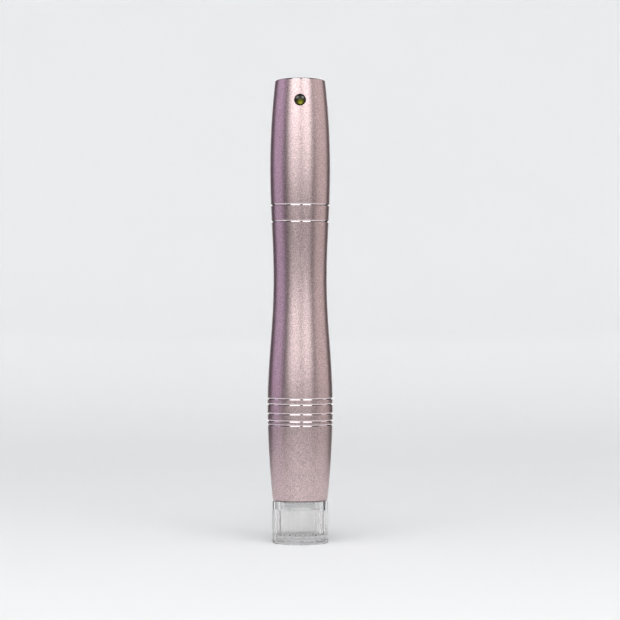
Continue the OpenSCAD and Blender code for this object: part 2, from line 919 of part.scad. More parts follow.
// A tube swept along a path round the axis, with each ring in a plane through the axis
module coil(path, r, n = 6) {
    last = len(path) - 1;
    rings = [for (p = path) for (k = [0:n - 1])
        let (out = [p[0], p[1], 0] / norm([p[0], p[1]]), a = 360 * k / n)
        p + r * (cos(a) * out + [0, 0, sin(a)])];
    sides = [for (i = [0:last - 1]) for (k = [0:n - 1])
        let (a = i * n + k, b = i * n + (k + 1) % n)
        each [[a, b + n, b], [a, a + n, b + n]]];
    ends = [[for (k = [0:n - 1]) k], [for (k = [n - 1:-1:0]) last * n + k]];
    polyhedron(points = rings, faces = concat(sides, ends), convexity = 6);
}

// Square plate on the battery's button end, with a tongue that reaches up to the board
module rear_contact() {
    half = 3;
    tongue_w = 1.6;
    tongue_t = 0.35;
    tongue_up = 0.8;
    color(brass)
    union() {
        block([-half, -half, z_battery_top], [half, half, z_contact_top]);
        block([-tongue_w / 2, board_front - tongue_t, z_battery_top],
            [tongue_w / 2, board_front, z_board + tongue_up]);
    }
}

// Two motor leads and the spring's lead, which run up beside the battery to the board
module leads() {
    out = bay_r + lead_r + seat;
    pad_x = board_w / 2 - pad_in;
    pad_y = board_front - lead_r - pad_gap;
    for (side = [-1, 1])
        color(side > 0 ? lead_red : lead_black)
        sweep([[side * (tab_at + 0.5), -0.2, z_shelf - 1.5],
            [side * (tab_at + 1.1), -0.5, z_shelf - 1.1],
            [side * (out - 0.5), -0.8, z_shelf - 0.3], [side * out, -0.9, z_spring + 0.4],
            [side * out, -0.9, z_battery_top - 0.3], [side * (out - 0.4), -1.7, z_contact_top],
            [side * (pad_x + 0.2), pad_y, z_bay_top + 0.1], [side * pad_x, pad_y, z_board + pad_up]],
            lead_r);
    color(lead_white)
    sweep([[-3.9, -2.3, z_spring + 0.7], [-4.5, -2.4, z_spring + 1],
        [-0.93 * out, -2.2, z_spring + 2.2], [-0.93 * out, -2.2, z_bay_top - 1.6],
        [-4.6, -2.9, z_bay_top - 0.7], [-3.9, -2.9, z_bay_top + 0.1],
        [pad_in - pad_x, pad_y - 0.05, z_board + pad_up]], lead_r);
}

protective_cap();
cartridge_socket();
front_grip();
grip_seal();
grip_clip();
mid_barrel();
centre_ring();
tail_shell();
end_plug();
power_button();
switch_plunger();
tact_switch();
circuit_board();
board_chips();
indicator_led();
led_lens();
charge_jack();
port_bezel();
inner_frame();
rod_bush();
push_rod();
cam_follower();
follower_pin();
drive_cam();
cam_screw();
motor_shaft();
motor_case();
motor_endbell();
motor_tabs();
motor_screws();
battery();
battery_spring();
rear_contact();
leads();
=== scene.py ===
"""Looks of a slim needling pen: a sand-blasted rose-gold hourglass that stands on its clear cap.

Sizes are in millimetres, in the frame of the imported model: +Z up the pen, the indicator facing -Y and the
charge port +Y. Meshes are scaled to metres as they are made.
"""
import json
import math

import bmesh
import bpy
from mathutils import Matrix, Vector


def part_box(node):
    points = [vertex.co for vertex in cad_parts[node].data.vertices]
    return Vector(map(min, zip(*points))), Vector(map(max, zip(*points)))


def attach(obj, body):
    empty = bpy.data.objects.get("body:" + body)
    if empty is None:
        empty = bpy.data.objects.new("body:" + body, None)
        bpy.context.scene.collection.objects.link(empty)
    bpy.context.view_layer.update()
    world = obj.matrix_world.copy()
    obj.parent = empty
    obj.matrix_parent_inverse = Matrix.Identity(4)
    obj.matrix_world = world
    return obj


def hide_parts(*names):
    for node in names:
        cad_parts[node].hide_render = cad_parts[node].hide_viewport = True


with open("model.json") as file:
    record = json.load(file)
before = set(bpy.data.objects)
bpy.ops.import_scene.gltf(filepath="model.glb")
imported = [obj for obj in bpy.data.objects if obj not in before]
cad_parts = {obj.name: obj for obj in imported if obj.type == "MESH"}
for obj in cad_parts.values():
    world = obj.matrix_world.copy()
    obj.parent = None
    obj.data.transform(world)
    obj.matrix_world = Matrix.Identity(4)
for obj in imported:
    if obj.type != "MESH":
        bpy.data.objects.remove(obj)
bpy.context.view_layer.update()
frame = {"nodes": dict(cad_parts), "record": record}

MM = 0.001


def low(node):
    """Lowest corner of a CAD node, in mm."""
    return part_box(node)[0] / MM


def high(node):
    """Highest corner of a CAD node, in mm."""
    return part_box(node)[1] / MM


# Levels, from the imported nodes
z_grip = low("front_grip").z
z_grip_top = high("front_grip").z
z_seam = low("mid_barrel").z
z_ring = high("mid_barrel").z
z_tail = low("tail_shell").z
z_top = high("tail_shell").z
z_low_spigot = low("centre_ring").z
z_top_spigot = high("centre_ring").z
z_cap_rim = high("protective_cap").z
z_mouth = low("cartridge_socket").z
z_plug = low("end_plug").z
z_button_top = high("power_button").z
lens_low, lens_high = low("led_lens"), high("led_lens")
bezel_low, bezel_high = low("port_bezel"), high("port_bezel")
z_led = (lens_low.z + lens_high.z) / 2
z_port = (bezel_low.z + bezel_high.z) / 2

# The hourglass: its radii, and the levels of its bulges and waist
nose_r, waist_r, end_r = 7.96, 7.78, 7.22
bulge_r, tail_r = high("mid_barrel").x, high("tail_shell").x
bulge_up, waist_up, tail_up = 5.5, 36.6, 32
z_bulge = z_seam + bulge_up
z_waist = z_bulge + waist_up
z_tail_bulge = z_waist + tail_up
nose_power, tail_power = 1.8, 2.1
nose_chamfer = 0.33

# The tail's rounded rim: its height, and how many times wider than high it is
rim_round, rim_wide = 0.65, 1.9

# Bright-cut grooves: half width at the surface, depth, and the heights of the four above the grip's seam
groove_half, groove_d = 0.27, 0.19
groove_ups = [1.2, 3.3, 6.0, 7.6]

# Bores and spigots, and the slack between pieces that fit together
bore_r, spigot_r, grip_spigot_r = 6.3, 7.1, 7.5
fit = 0.02

# The opening in the tail's end, and the level of the underside of the lip round it
opening_r, z_lip = 5.65, 133.6

# Points round a lathe and round a small one, and the rough height of a row of faces
AROUND, SMALL_AROUND = 192, 96
UP = 0.6


def ease(a, b, t):
    """A number that eases from a to b as t goes from 0 to 1."""
    return a + (b - a) * (1 - math.cos(math.pi * t)) / 2


def hull_r(z):
    """Outer radius of the hourglass at height z."""
    if z < z_bulge:
        return bulge_r - (bulge_r - nose_r) * ((z_bulge - z) / (z_bulge - z_grip)) ** nose_power
    if z < z_waist:
        return ease(bulge_r, waist_r, (z - z_bulge) / (z_waist - z_bulge))
    if z < z_tail_bulge:
        return ease(waist_r, tail_r, (z - z_waist) / (z_tail_bulge - z_waist))
    return tail_r - (tail_r - end_r) * ((z - z_tail_bulge) / (z_top - z_tail_bulge)) ** tail_power


BLASTED, CUT = 0, 1


def outline(z0, z1, grooves=()):
    """The hourglass between two levels as (radius, height, material) points, with grooves at some levels."""
    stops = [z0] + sorted(grooves) + [z1]
    points = []
    for a, b in zip(stops, stops[1:]):
        start = a + groove_half if a in grooves else a
        end = b - groove_half if b in grooves else b
        steps = max(1, round((end - start) / UP))
        for i in range(steps + 1):
            z = start + (end - start) * i / steps
            points.append((hull_r(z), z, BLASTED))
        if b in grooves:
            r, z, _ = points.pop()
            points += [(r, z, CUT), (hull_r(b) - groove_d, b, CUT)]
    return points


def plain(*points):
    """Points of a section that are followed by faces in the piece's first material."""
    return [(r, z, BLASTED) for r, z in points]


def ring(r, z, n=AROUND):
    """One round of a lathe. It starts at the front, and the pen's left side comes first."""
    turns = [2 * math.pi * k / n for k in range(n)]
    return [Vector((-r * math.sin(t), -r * math.cos(t), z)) for t in turns]


def skin(bm, rows, zones=None, closed=True):
    """Faces between rows of points. A closed set of rows joins its last row to its first."""
    verts = [[bm.verts.new(p) for p in row] for row in rows]
    n = len(rows[0])
    for i in range(len(rows) if closed else len(rows) - 1):
        a, b = verts[i], verts[(i + 1) % len(rows)]
        for k in range(n):
            face = bm.faces.new((a[k], a[(k + 1) % n], b[(k + 1) % n], b[k]))
            face.material_index = zones[i] if zones else 0
    return verts


def piece(name, bm, body, materials, nodes, sharp=26):
    """Turns a mesh into a piece that rides on a body in place of CAD nodes. Edges past an angle are sharp."""
    bmesh.ops.recalc_face_normals(bm, faces=bm.faces)
    for face in bm.faces:
        face.smooth = True
    for edge in bm.edges:
        if len(edge.link_faces) == 2:
            edge.smooth = edge.calc_face_angle(0) < math.radians(sharp)
    bmesh.ops.scale(bm, vec=(MM, MM, MM), verts=bm.verts)
    mesh = bpy.data.meshes.new(name)
    bm.to_mesh(mesh)
    bm.free()
    obj = bpy.data.objects.new(name, mesh)
    bpy.context.scene.collection.objects.link(obj)
    for m in materials:
        mesh.materials.append(m)
    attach(obj, body)
    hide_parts(*nodes)
    return obj


def lathe(loop, n=AROUND):
    """A turned solid from a closed section that stays off the axis, with its rows of points."""
    bm = bmesh.new()
    rows = skin(bm, [ring(r, z, n) for r, z, _ in loop], [zone for _, _, zone in loop])
    return bm, rows


def spindle(points, n=AROUND):
    """A turned solid from an open section, closed by flat discs at both ends."""
    bm = bmesh.new()
    rows = skin(bm, [ring(r, z, n) for r, z, _ in points], [zone for _, _, zone in points], closed=False)
    for row, zone in ((rows[0], points[0][2]), (rows[-1], points[-1][2])):
        bm.faces.new(row).material_index = zone
    return bm


def arc(r, z, radius, a0, a1, steps=5, widen=1.0):
    """Points of an arc about (r, z), from angle a0 to a1 in degrees, that may be wider than it is high."""
    turns = [math.radians(a0 + (a1 - a0) * i / steps) for i in range(steps + 1)]
    return [(r + widen * radius * math.cos(t), z + radius * math.sin(t)) for t in turns]


# ---- Materials

def shader(name, **values):
    """A material with its Principled shader set, and the means to add nodes to it."""
    mat = bpy.data.materials.new(name)
    mat.use_nodes = True
    tree = mat.node_tree
    bsdf = tree.nodes["Principled BSDF"]
    for socket, value in values.items():
        bsdf.inputs[socket.replace("_", " ")].default_value = value
    coords = tree.nodes.new("ShaderNodeTexCoord").outputs["Object"]
    return mat, tree, bsdf, coords


def node(tree, kind, inputs=(), **settings):
    """Adds a node, with settings on it and values or links for its inputs."""
    made = tree.nodes.new(kind)
    for key, value in settings.items():
        setattr(made, key, value)
    for key, value in dict(inputs).items():
        if isinstance(value, bpy.types.NodeSocket):
            tree.links.new(value, made.inputs[key])
        else:
            made.inputs[key].default_value = value
    return made


def noise(tree, coords, scale, detail=3.0, roughness=0.55):
    return node(tree, "ShaderNodeTexNoise",
                {"Vector": coords, "Scale": scale, "Detail": detail, "Roughness": roughness}).outputs["Fac"]


def ramp(tree, fac, *stops):
    """A colour ramp from (place, colour) stops."""
    made = node(tree, "ShaderNodeValToRGB", {"Fac": fac})
    cells = made.color_ramp.elements
    while len(cells) < len(stops):
        cells.new(0.5)
    for cell, (place, colour) in zip(cells, stops):
        cell.position = place
        cell.color = (*colour, 1)
    return made.outputs["Color"]


def times(tree, vector, factors):
    """A vector with each of its parts multiplied."""
    return node(tree, "ShaderNodeVectorMath", {0: vector, 1: factors}, operation="MULTIPLY").outputs[0]


def spread(tree, fac, a, b):
    """A number from a to b as fac goes from 0 to 1."""
    return node(tree, "ShaderNodeMapRange", {"Value": fac, "To Min": a, "To Max": b}).outputs["Result"]


def mix(tree, fac, a, b):
    """Colour a turning into colour b as fac goes from 0 to 1."""
    return node(tree, "ShaderNodeMix", {"Factor": fac, "A": a, "B": b}, data_type="RGBA").outputs["Result"]


def bump(tree, bsdf, height, strength, distance):
    made = node(tree, "ShaderNodeBump", {"Height": height, "Strength": strength, "Distance": distance})
    tree.links.new(made.outputs["Normal"], bsdf.inputs["Normal"])


def blasted_metal(name):
    """Sand-blasted rose-gold anodised metal: fine grains, lighter and darker, that glint one by one."""
    mat, tree, bsdf, coords = shader(name, Metallic=1.0, Roughness=0.33)
    grains = noise(tree, coords, 3900.0, 1.5, 0.7)
    colour = ramp(tree, grains, (0.36, (0.46, 0.358, 0.363)), (0.5, (0.65, 0.505, 0.51)),
                  (0.64, (0.87, 0.69, 0.69)))
    tree.links.new(colour, bsdf.inputs["Base Color"])
    tree.links.new(spread(tree, grains, 0.26, 0.40), bsdf.inputs["Roughness"])
    bump(tree, bsdf, grains, 0.3, 0.00004)
    return mat


def cut_metal(name):
    """Bright-cut metal in the grooves, with the cutter's fine marks."""
    mat, tree, bsdf, coords = shader(name, Metallic=1.0, Roughness=0.1)
    marks = noise(tree, coords, 900.0, 2.0)
    tree.links.new(ramp(tree, marks, (0.2, (0.76, 0.66, 0.67)), (0.8, (0.86, 0.78, 0.79))),
                   bsdf.inputs["Base Color"])
    bump(tree, bsdf, marks, 0.1, 0.00002)
    return mat


def turned(name, colour, light, roughness=0.25, pitch=9000.0):
    """Turned or drawn metal with fine rings about the pen's axis."""
    mat, tree, bsdf, coords = shader(name, Metallic=1.0, Roughness=roughness)
    rings = node(tree, "ShaderNodeTexWave",
                 {"Vector": coords, "Scale": pitch, "Distortion": 1.2, "Detail": 2.0},
                 wave_type="RINGS", rings_direction="Z").outputs["Fac"]
    patches = noise(tree, coords, 400.0)
    tree.links.new(ramp(tree, patches, (0.2, colour), (0.8, light)), bsdf.inputs["Base Color"])
    tree.links.new(spread(tree, patches, roughness - 0.06, roughness + 0.08), bsdf.inputs["Roughness"])
    bump(tree, bsdf, rings, 0.12, 0.00002)
    return mat


def moulded(name, colour, light, roughness=0.45, grain=1400.0):
    """Moulded plastic or rubber with a fine texture."""
    mat, tree, bsdf, coords = shader(name, Roughness=roughness)
    fine = noise(tree, coords, grain)
    tree.links.new(ramp(tree, fine, (0.3, colour), (0.7, light)), bsdf.inputs["Base Color"])
    tree.links.new(spread(tree, fine, roughness - 0.05, roughness + 0.08), bsdf.inputs["Roughness"])
    bump(tree, bsdf, fine, 0.15, 0.00003)
    return mat


def clear_plastic(name):
    """Clear moulded plastic, with a faint flow pattern that runs up the cap's wall."""
    mat, tree, bsdf, coords = shader(name, Roughness=0.02, IOR=1.49, Transmission_Weight=1.0)
    flow = noise(tree, times(tree, coords, (1, 1, 0.05)), 620.0, 1.0)
    tree.links.new(ramp(tree, flow, (0.36, (0.875, 0.865, 0.862)), (0.62, (0.955, 0.949, 0.945))),
                   bsdf.inputs["Base Color"])
    bump(tree, bsdf, flow, 0.05, 0.00005)
    return mat


def hazy_plastic(name):
    """Clear plastic with a little haze."""
    mat, tree, bsdf, coords = shader(name, Roughness=0.15, IOR=1.12, Transmission_Weight=0.8)
    flow = noise(tree, coords, 300.0)
    tree.links.new(ramp(tree, flow, (0.3, (0.96, 0.975, 0.98)), (0.7, (0.985, 0.99, 0.995))),
                   bsdf.inputs["Base Color"])
    bump(tree, bsdf, flow, 0.08, 0.00005)
    return mat


def frosted_plastic(name):
    """Etched plastic, as on the cap's foot and on the floor of its well."""
    mat, tree, bsdf, coords = shader(name, Roughness=0.4, IOR=1.4, Transmission_Weight=0.97)
    mottle = noise(tree, coords, 900.0)
    tree.links.new(ramp(tree, mottle, (0.4, (0.72, 0.73, 0.74)), (0.6, (0.98, 0.985, 0.99))),
                   bsdf.inputs["Base Color"])
    bump(tree, bsdf, mottle, 0.4, 0.0001)
    return mat


def smoked_lens_painted_light(name):
    """The indicator's lens, coloured with painted light: painted shade black round its rim and high up, its
    olive tint painted brightest low in the middle as a glow, and painted grey highlights at two spots higher
    up.
    """
    mat, tree, bsdf, coords = shader(name, Roughness=0.1, IOR=1.38)
    flat = times(tree, coords, (1, 0, 1))

    def near(x, up, reach, core=0.0):
        """1 at a place on the lens, in mm from its middle, falling to 0 at a distance from it."""
        place = (x * MM, 0.0, (z_led + up) * MM)
        away = node(tree, "ShaderNodeVectorMath", {0: flat, 1: place}, operation="DISTANCE")
        return node(tree, "ShaderNodeMapRange",
                    {"Value": away.outputs["Value"], "From Min": core * MM, "From Max": reach * MM,
                     "To Min": 1.0, "To Max": 0.0}).outputs["Result"]

    # Painted shade black, and the grey of the two painted highlights
    shade_black, grey = (0.006, 0.006, 0.005), (0.26, 0.26, 0.23)
    # The lens's olive tint with a painted glow: brightest low in the middle where light gathers, fading to
    # painted shade black higher up
    colour = ramp(tree, near(0.15, -1.0, 1.7), (0.1, shade_black), (0.35, (0.04, 0.043, 0.003)),
                  (0.68, (0.15, 0.16, 0.007)), (0.95, (0.33, 0.34, 0.03)))
    # Two painted highlights: grey spots where the dome would reflect the two rows of lamps
    for x in (-0.88, 0.88):
        colour = mix(tree, near(x, 0.75, 0.55), colour, (*grey, 1))
    # Painted shade: black round the rim, where the hole shades the lens
    colour = mix(tree, near(0.0, 0.0, 1.5, 1.15), (*shade_black, 1), colour)
    tree.links.new(colour, bsdf.inputs["Base Color"])
    bump(tree, bsdf, noise(tree, coords, 500.0), 0.05, 0.00002)
    return mat


def solder_mask(name):
    """Green solder mask with darker and lighter copper tracks under it."""
    mat, tree, bsdf, coords = shader(name, Roughness=0.3, Coat_Weight=0.3)
    tracks = node(tree, "ShaderNodeTexWave",
                  {"Vector": coords, "Scale": 700.0, "Distortion": 6.0, "Detail": 0.0},
                  wave_type="BANDS", bands_direction="X").outputs["Fac"]
    tree.links.new(ramp(tree, tracks, (0.45, (0.01, 0.10, 0.05)), (0.55, (0.03, 0.20, 0.09))),
                   bsdf.inputs["Base Color"])
    bump(tree, bsdf, tracks, 0.2, 0.00003)
    return mat


def shrink_film(name):
    """Glossy film round the battery, blue with a pale band near its button end."""
    mat, tree, bsdf, coords = shader(name, Roughness=0.25, Coat_Weight=0.4)
    height = node(tree, "ShaderNodeSeparateXYZ", {"Vector": coords}).outputs["Z"]
    end, reach = high("battery").z * MM, 0.006
    place = node(tree, "ShaderNodeMapRange",
                 {"Value": height, "From Min": end - reach, "From Max": end}).outputs["Result"]
    blue, pale, grey = (0.02, 0.06, 0.22), (0.75, 0.75, 0.72), (0.45, 0.44, 0.42)
    band = ramp(tree, place, (0.0, blue), (0.35, blue), (0.4, pale), (0.72, pale), (0.8, grey))
    tree.links.new(band, bsdf.inputs["Base Color"])
    bump(tree, bsdf, noise(tree, coords, 250.0), 0.2, 0.0001)
    return mat


def insulation(name):
    """Red, black and white insulation, told apart by the side that each lead runs on."""
    mat, tree, bsdf, coords = shader(name, Roughness=0.4)
    white_y = -0.0018
    place = node(tree, "ShaderNodeSeparateXYZ", {"Vector": coords})
    right = node(tree, "ShaderNodeMath", {0: place.outputs["X"], 1: 0.0},
                 operation="GREATER_THAN").outputs[0]
    front = node(tree, "ShaderNodeMath", {0: place.outputs["Y"], 1: white_y},
                 operation="LESS_THAN").outputs[0]
    left = mix(tree, front, (0.02, 0.02, 0.02, 1), (0.75, 0.74, 0.7, 1))
    tree.links.new(mix(tree, right, left, (0.45, 0.02, 0.015, 1)), bsdf.inputs["Base Color"])
    bump(tree, bsdf, noise(tree, coords, 1500.0), 0.1, 0.00003)
    return mat


rose_gold = blasted_metal("rose_gold")
bright_cut = cut_metal("bright_cut")
button_metal = turned("button_metal", (0.74, 0.60, 0.60), (0.82, 0.70, 0.69), 0.28, 5200.0)
clear = clear_plastic("clear_plastic")
hazy = hazy_plastic("hazy_plastic")
frosted = frosted_plastic("frosted_plastic")
# The indicator lens's material, whose colour is painted shade, painted glow and painted highlights
smoked_painted_light = smoked_lens_painted_light("smoked_lens_painted_light")
black = moulded("black_plastic", (0.018, 0.018, 0.02), (0.035, 0.035, 0.038))
finish_of = {
    "socket_plastic": hazy,
    "black_plastic": black,
    "frame_plastic": moulded("frame_plastic", (0.07, 0.075, 0.08), (0.11, 0.115, 0.12)),
    "steel": turned("turned_steel", (0.60, 0.61, 0.63), (0.72, 0.73, 0.75)),
    "motor_steel": turned("drawn_steel", (0.48, 0.49, 0.51), (0.60, 0.61, 0.63), 0.32, 2500.0),
    "brass": turned("turned_brass", (0.68, 0.50, 0.20), (0.80, 0.63, 0.32)),
    "nickel": turned("plated_nickel", (0.66, 0.64, 0.58), (0.78, 0.76, 0.71), 0.18),
    "rubber": moulded("rubber", (0.012, 0.012, 0.013), (0.025, 0.025, 0.026), 0.7, 2200.0),
    "acetal": moulded("acetal", (0.72, 0.72, 0.69), (0.80, 0.80, 0.77), 0.35),
    "board": solder_mask("solder_mask"),
    "battery_wrap": shrink_film("battery_film"),
    "wire": insulation("insulation"),
}
for part in frame["record"]["subparts"]:
    finish = finish_of.get(part["material_slot"])
    if finish:
        data = frame["nodes"][part["node"]].data
        data.materials.clear()
        data.materials.append(finish)


# ---- Barrel

def front_grip():
    """The sleeve, with the seal's groove round its spigot and the clip's room in its bore."""
    seam_edge = z_seam - 0.05
    seam_cut = 0.144
    seal_r, seal_low, seal_high = 6.7, 36.93, 38.07
    journal_r, clip_r, clip_low, clip_high = 6.2, 7.1, 29.0, 33.0
    mouth_r, mouth_edge = 6.45, 0.15
    chamfer, nose_in = 0.2, 0.3
    outer = plain((nose_r - nose_in, z_grip)) + outline(z_grip + nose_chamfer, z_seam - groove_half)
    outer[-1] = (*outer[-1][:2], CUT)
    inner = plain((hull_r(z_seam) - seam_cut, seam_edge), (grip_spigot_r, seam_edge),
                  (grip_spigot_r, seal_low), (seal_r, seal_low), (seal_r, seal_high),
                  (grip_spigot_r, seal_high), (grip_spigot_r, z_grip_top - chamfer),
                  (grip_spigot_r - chamfer, z_grip_top),
                  (journal_r, z_grip_top), (journal_r, clip_high), (clip_r, clip_high), (clip_r, clip_low),
                  (mouth_r, clip_low), (mouth_r, z_grip + mouth_edge), (mouth_r + mouth_edge, z_grip))
    bm, _ = lathe(outer + inner)
    piece("grip_sleeve", bm, "grip", [rose_gold, bright_cut], ["front_grip"])


def mid_barrel():
    """The barrel from the grip's seam to the lower of the two upper grooves, bored for both spigots."""
    z_bore, z_bore_top = z_grip_top + 0.3, z_low_spigot - 1.2
    socket_r = grip_spigot_r + 0.1
    outer = [(hull_r(z_seam) - groove_d, z_seam, CUT)]
    outer += outline(z_seam + groove_half, z_ring - groove_half, [z_seam + up for up in groove_ups])
    outer[-1] = (*outer[-1][:2], CUT)
    inner = plain((hull_r(z_ring) - groove_d, z_ring), (spigot_r + fit, z_ring),
                  (spigot_r + fit, z_bore_top), (bore_r, z_bore_top), (bore_r, z_bore), (socket_r, z_bore),
                  (socket_r, z_seam))
    bm, _ = lathe(outer + inner)
    piece("hourglass_barrel", bm, "housing", [rose_gold, bright_cut], ["mid_barrel"])


def centre_ring():
    """The ring between the two upper grooves, with a spigot at each end."""
    outer = [(hull_r(z_ring) - groove_d, z_ring, CUT)]
    outer += outline(z_ring + groove_half, z_tail - groove_half)
    outer[-1] = (*outer[-1][:2], CUT)
    inner = plain((hull_r(z_tail) - groove_d, z_tail), (spigot_r, z_tail), (spigot_r, z_top_spigot),
                  (bore_r, z_top_spigot), (bore_r, z_low_spigot), (spigot_r, z_low_spigot),
                  (spigot_r, z_ring))
    bm, _ = lathe(outer + inner)
    piece("joint_ring", bm, "housing", [rose_gold, bright_cut], ["centre_ring"])


def window(rows, levels, z0, half_z, front, half_k):
    """The border of a hole's patch in a lathe's grid, from a lower corner, and the points inside it."""
    i0 = min(range(len(levels)), key=lambda i: abs(levels[i] - (z0 - half_z)))
    i1 = min(range(len(levels)), key=lambda i: abs(levels[i] - (z0 + half_z)))
    middle = 0 if front else AROUND // 2
    ks = [(middle + k) % AROUND for k in range(-half_k, half_k + 1)]
    border = [rows[i0][k] for k in ks] + [rows[i][ks[-1]] for i in range(i0 + 1, i1)]
    border += [rows[i1][k] for k in reversed(ks)] + [rows[i][ks[0]] for i in range(i1 - 1, i0, -1)]
    inside = [rows[i][k] for i in range(i0 + 1, i1) for k in ks[1:-1]]
    return border, inside


def bridge(bm, a, b, zone=BLASTED):
    """Faces between two closed rows of points."""
    for k in range(len(a)):
        j = (k + 1) % len(a)
        bm.faces.new((a[k], a[j], b[j], b[k])).material_index = zone


def open_wall(bm, border, inside, z0, radius_at, hole_r, turns=None):
    """Clears a patch of wall and fills it again round a hole, with each point on the wall's own surface."""
    bmesh.ops.delete(bm, geom=inside, context="VERTS")
    leftover = [f for f in bm.faces if all(v in border for v in f.verts)]
    bmesh.ops.delete(bm, geom=leftover, context="FACES_ONLY")
    side = 1 if border[0].co.y > 0 else -1
    if turns is None:
        turns = [math.atan2(v.co.z - z0, v.co.x) for v in border]
    previous = border
    for t in (0.45, 0.8, 1.0):
        row = []
        for v, turn in zip(border, turns):
            x = v.co.x + (hole_r * math.cos(turn) - v.co.x) * t
            z = v.co.z + (z0 + hole_r * math.sin(turn) - v.co.z) * t
            row.append(bm.verts.new((x, side * math.sqrt(radius_at(z) ** 2 - x * x), z)))
        bridge(bm, previous, row)
        previous = row
    return previous, turns


def drill(bm, outer, inner, z0, front, half_z, half_k, steps, inner_hole):
    """A hole through the tail's wall. Its steps are (radius, place of the step's edge), from outside inwards.

    A place above 0 is a distance from the pen's middle, and any other is measured from the wall's surface.
    """
    outer_border, outer_inside = window(*outer, z0, half_z, front, half_k)
    inner_border, inner_inside = window(*inner, z0, half_z, front, half_k)
    start, turns = open_wall(bm, outer_border, outer_inside, z0, hull_r, steps[0][0])
    end, _ = open_wall(bm, inner_border, inner_inside, z0, lambda z: bore_r, inner_hole, turns)
    side = -1 if front else 1
    previous = start
    for radius, out in steps[1:]:
        row = []
        for v, turn in zip(start, turns):
            y = out if out > 0 else abs(v.co.y) + out
            row.append(bm.verts.new((radius * math.cos(turn), side * y, z0 + radius * math.sin(turn))))
        bridge(bm, previous, row, CUT if out <= 0 else BLASTED)
        previous = row
    bridge(bm, previous, end)


def tail_shell():
    """The tail, with its rounded rim, the lip over the end plate, and the holes for lens and port."""
    z_foot, lining_low, lining_high = 104.4, 104.9, 133.1
    lens_step, lens_sink = 0.1, 0.08
    bezel_r, bezel_flange = 2.6, 0.5
    # Patches of wall that are made anew round the holes: half height, and half width in columns
    lens_patch, port_patch = (2.4, 9), (4.2, 15)
    rim_z = z_top - rim_round
    outer = [(hull_r(z_tail) - groove_d, z_tail, CUT)] + outline(z_tail + groove_half, rim_z)
    edge = arc(hull_r(rim_z) - rim_wide * rim_round, rim_z, rim_round, 0, 90, 10, rim_wide)
    rim = [(r, z, CUT) for r, z in edge[1:-1]] + plain(edge[-1])
    lip = plain((opening_r, z_top), (opening_r, z_lip), (bore_r, z_lip))
    mirrored = [(bore_r, z, BLASTED) for _, z, _ in reversed(outer) if lining_low < z < lining_high]
    foot = plain((bore_r, z_foot), (spigot_r + fit, z_foot), (spigot_r + fit, z_tail))
    head = outer + rim + lip
    bm, rows = lathe(head + mirrored + foot)
    wall = rows[:len(outer)], [z for _, z, _ in outer]
    lining = rows[len(head):len(head) + len(mirrored)][::-1], [z for _, z, _ in mirrored][::-1]
    lens_r = (lens_high.x - lens_low.x) / 2
    drill(bm, wall, lining, z_led, True, *lens_patch,
          [(lens_r + lens_step, 0), (lens_r + fit, -lens_sink)], lens_r + fit)
    flange_r = (bezel_high.x - bezel_low.x) / 2
    bottom = bezel_high.y - bezel_flange
    drill(bm, wall, lining, z_port, False, *port_patch,
          [(flange_r + fit, 0), (flange_r + fit, bottom), (bezel_r + fit, bottom)], bezel_r + fit)
    piece("tail_sleeve", bm, "housing", [rose_gold, bright_cut], ["tail_shell"])


def end_plug():
    """The plate under the lip, which fills the tail's opening and guides the button."""
    flange_r, hole_r = 6.25, 3.4
    plate_r, edge, dish = opening_r - 0.02, 0.06, 0.3
    seat = z_lip - 0.02
    loop = plain((flange_r, z_plug), (flange_r, seat), (plate_r, seat), (plate_r, z_top - edge),
                 (plate_r - edge, z_top), (hole_r + dish, z_top), (hole_r, z_top - dish), (hole_r, z_plug))
    bm, _ = lathe(loop)
    piece("end_plate", bm, "housing", [rose_gold], ["end_plug"])


def power_button():
    """The button with its stem, the flange that keeps it in, a rounded edge and a dished top."""
    low_end, flange, flange_h = low("power_button").z, 131.55, 1
    stem_r, flange_r, button_r = 1.2, 4.3, 3.3
    edge_round, dish_r, dish_d, rings = 0.25, 2.9, 0.3, 12
    edge_r, edge_z = button_r - edge_round, z_button_top - edge_round
    edge = [(edge_r + edge_round * math.sin(a), edge_z + edge_round * math.cos(a))
            for a in (math.radians(t) for t in (90, 70, 45, 20, 0))]
    dish = [(dish_r * i / rings, z_button_top - dish_d * (1 - (i / rings) ** 2))
            for i in range(rings, 0, -1)]
    points = plain((stem_r, low_end), (stem_r, flange), (flange_r, flange), (flange_r, flange + flange_h),
                   (button_r, flange + flange_h), *edge, *dish)
    bm = spindle(points)
    piece("button_cap", bm, "button", [button_metal], ["power_button"])


def turn_out(bm, side):
    """Lays down a lathe that points up, so that it points to the back (1) or to the front (-1)."""
    for v in bm.verts:
        v.co = Vector((v.co.x, side * v.co.z, -side * v.co.y))


def led_lens():
    """A dome with a soft edge, on the light pipe's stem."""
    lens_r, stem_r = (lens_high.x - lens_low.x) / 2, 1.18
    tip, back = -lens_low.y, 6.3
    rise, edge, rings = 1.0, 0.06, 13
    ball_r = (lens_r ** 2 + rise ** 2) / (2 * rise)
    dome = [(lens_r, tip - rise - 2 * edge), (lens_r - edge / 4, tip - rise - edge)]
    for i in range(rings):
        r = (lens_r - edge) * (1 - i / rings)
        dome.append((r, tip - ball_r + math.sqrt(ball_r ** 2 - r * r)))
    bm = spindle(plain((stem_r, -lens_high.y), (stem_r, back), (lens_r, back), *dome), SMALL_AROUND)
    turn_out(bm, -1)
    bmesh.ops.translate(bm, vec=(0, 0, z_led), verts=bm.verts)
    piece("indicator_lens", bm, "housing", [smoked_painted_light], ["led_lens"])


